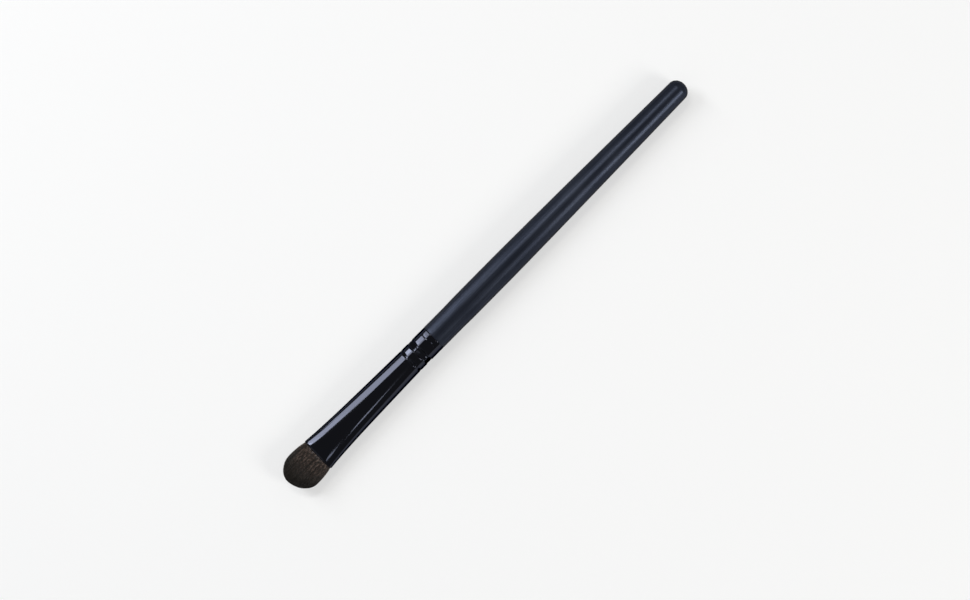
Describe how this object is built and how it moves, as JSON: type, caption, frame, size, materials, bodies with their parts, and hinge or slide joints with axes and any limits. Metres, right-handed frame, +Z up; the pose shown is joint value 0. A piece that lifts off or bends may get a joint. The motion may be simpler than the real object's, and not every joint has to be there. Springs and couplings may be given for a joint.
{
  "type": "eyeshadow brush",
  "caption": "Flat shader brush with a turned, slowly swelling handle, a crimped ferrule pressed wide at its mouth, and a dome-ended tuft of dark hair.",
  "frame": {"origin": "centre of the overall length and width, on the surface that the handle rests on", "axes": "+X along the brush from the handle's rounded end towards the hair's tips, +Y across the broad face of the ferrule, +Z up, square to that face"},
  "size_m": [0.165, 0.0118, 0.0084],
  "materials": {
    "handle_lacquer": "satin black lacquer on turned wood",
    "ferrule_enamel": "gloss black enamel",
    "hair": "fine dark brown filaments",
    "root_resin": "cured amber resin",
    "thread": "black waxed thread",
    "glue": "cured glue"
  },
  "bodies": {
    "root": {"handle": "handle_lacquer", "ferrule": "ferrule_enamel", "hair_tuft": "hair", "root_block": "root_resin", "binding_thread": "thread", "tenon_glue": "glue"}
  },
  "joints": []
}
